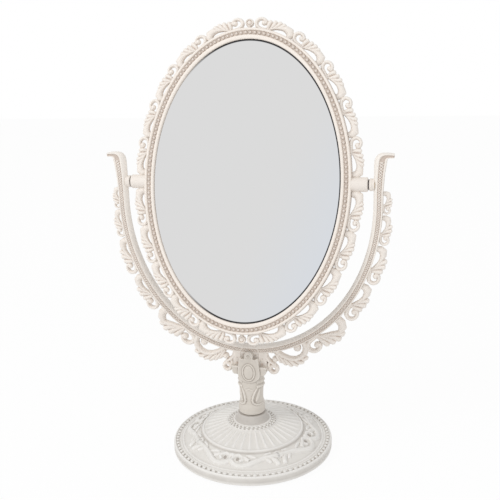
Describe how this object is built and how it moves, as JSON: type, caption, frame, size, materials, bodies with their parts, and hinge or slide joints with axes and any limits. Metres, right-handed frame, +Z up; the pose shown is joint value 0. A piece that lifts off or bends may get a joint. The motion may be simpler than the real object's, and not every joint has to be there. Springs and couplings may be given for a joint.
{
  "type": "tabletop vanity mirror",
  "caption": "Oval two-faced vanity mirror in an openwork scroll frame, hung between the arms of a scrolled fork on a short pillar and a round weighted foot.",
  "frame": {"origin": "on the round foot's axis, at the level of the table", "axes": "+Z up, the front glass faces -Y, +X to the right as seen from the front"},
  "size_m": [0.2032, 0.12, 0.3137],
  "materials": {
    "foot_plastic": "antique white, fine cast grain",
    "stem_plastic": "antique white, satin",
    "frame_plastic": "antique white with warm tint in the hollows",
    "bezel_plastic": "antique white, satin",
    "plate_plastic": "plain moulded",
    "mirror_glass": "silvered glass",
    "steel": "zinc plated",
    "weight_iron": "raw cast ring",
    "brass": "turned",
    "pad_rubber": "soft matt",
    "foam": "closed-cell foam",
    "dark_nylon": "plain",
    "pale_nylon": "plain"
  },
  "bodies": {
    "stand": {"foot_shell": "foot_plastic", "bottom_plate": "plate_plastic", "plate_screws": "steel", "foot_pads": "pad_rubber", "foot_weight": "weight_iron", "stem": "stem_plastic", "tie_bolt": "steel", "fork_nut": "brass", "fork": "frame_plastic", "pivot_screw_right": "steel", "pivot_screw_left": "steel", "friction_washer_right": "dark_nylon", "friction_washer_left": "dark_nylon", "fork_insert_right": "brass", "fork_insert_left": "brass"},
    "mirror_head": {"mirror_frame": "frame_plastic", "front_bezel": "bezel_plastic", "rear_bezel": "bezel_plastic", "front_glass": "mirror_glass", "rear_glass": "mirror_glass", "glass_cushion": "foam", "pivot_bush_right": "pale_nylon", "pivot_bush_left": "pale_nylon"}
  },
  "joints": [
    {"name": "mirror_tilt", "type": "hinge", "parent": "stand", "child": "mirror_head", "pos_m": [0, 0, 0.2024], "axis": [1, 0, 0], "continuous": true}
  ]
}
